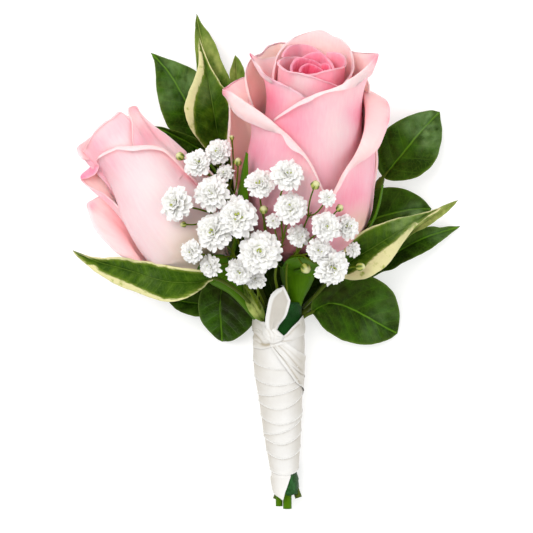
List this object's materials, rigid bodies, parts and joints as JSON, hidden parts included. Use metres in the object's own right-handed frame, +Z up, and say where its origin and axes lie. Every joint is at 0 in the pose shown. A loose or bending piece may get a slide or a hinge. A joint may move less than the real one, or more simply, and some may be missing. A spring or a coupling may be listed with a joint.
{
  "type": "boutonniere",
  "caption": "Boutonniere of pink roses, variegated leaves and small white blossoms, with its stems bound in tape and wrapped in ivory ribbon; lies on its back.",
  "frame": {"origin": "centre of the bottom face of the bounding box, on the surface that the boutonniere lies on", "axes": "+Y from the cut stem ends to the flowers, +Z up out of the surface, +X to the right when looked at from above with the flowers away from the viewer"},
  "size_m": [0.1084, 0.1382, 0.0499],
  "materials": {
    "petal_pink": "soft satin petal, darker pink in the folds and pale at the rims",
    "petal_blush": "soft satin petal, blush with a cream foot",
    "leaf_green": "waxy dark green leaf with a paler midrib",
    "leaf_variegated": "waxy green leaf with a cream margin",
    "stem_green": "smooth green stem, paler at the cut end",
    "blossom_white": "matt white blossom with a green-yellow eye, on thin green stems",
    "tape_green": "matt dark green florist's tape",
    "ribbon_ivory": "ivory satin ribbon with a woven edge"
  },
  "bodies": {
    "root": {"rose_large_heart": "petal_pink", "rose_small_heart": "petal_blush", "rose_large_petal_01": "petal_pink", "rose_large_petal_02": "petal_pink", "rose_large_petal_03": "petal_pink", "rose_large_petal_04": "petal_pink", "rose_large_petal_05": "petal_pink", "rose_large_petal_06": "petal_pink", "rose_large_petal_07": "petal_pink", "rose_large_petal_08": "petal_pink", "rose_large_petal_09": "petal_pink", "rose_large_petal_10": "petal_pink", "rose_large_petal_11": "petal_pink", "rose_large_petal_12": "petal_pink", "rose_large_petal_13": "petal_pink", "rose_large_petal_14": "petal_pink", "rose_large_petal_15": "petal_pink", "rose_large_petal_16": "petal_pink", "rose_large_petal_17": "petal_pink", "rose_small_petal_01": "petal_blush", "rose_small_petal_02": "petal_blush", "rose_small_petal_03": "petal_blush", "rose_small_petal_04": "petal_blush", "rose_small_petal_05": "petal_blush", "rose_small_petal_06": "petal_blush", "rose_small_petal_07": "petal_blush", "rose_small_petal_08": "petal_blush", "rose_small_petal_09": "petal_blush", "rose_large_stem": "stem_green", "rose_small_stem": "stem_green", "foliage_stem_right": "stem_green", "foliage_stem_left": "stem_green", "leaf_back_centre": "leaf_green", "leaf_back_right": "leaf_green", "leaf_back_upper": "leaf_green", "leaf_upper_left": "leaf_green", "leaf_variegated_upper": "leaf_variegated", "leaf_upper_back": "leaf_green", "leaf_bud_top": "leaf_green", "leaf_dark_left": "leaf_green", "leaf_upper_right": "leaf_green", "leaf_middle_right": "leaf_green", "leaf_variegated_right": "leaf_variegated", "leaf_right_behind": "leaf_green", "leaf_right_lower": "leaf_green", "leaf_lower_right": "leaf_green", "leaf_variegated_left": "leaf_variegated", "leaf_left_under": "leaf_green", "leaf_lower_left": "leaf_green", "leaf_small_centre": "leaf_green", "gypsophila_spray_upper": "blossom_white", "gypsophila_spray_lower": "blossom_white", "gypsophila_spray_centre": "blossom_white", "gypsophila_spray_right": "blossom_white", "floral_tape": "tape_green", "ribbon_wrap": "ribbon_ivory", "ribbon_knot": "ribbon_ivory", "ribbon_end_upper": "ribbon_ivory", "ribbon_tail": "ribbon_ivory"}
  },
  "joints": []
}
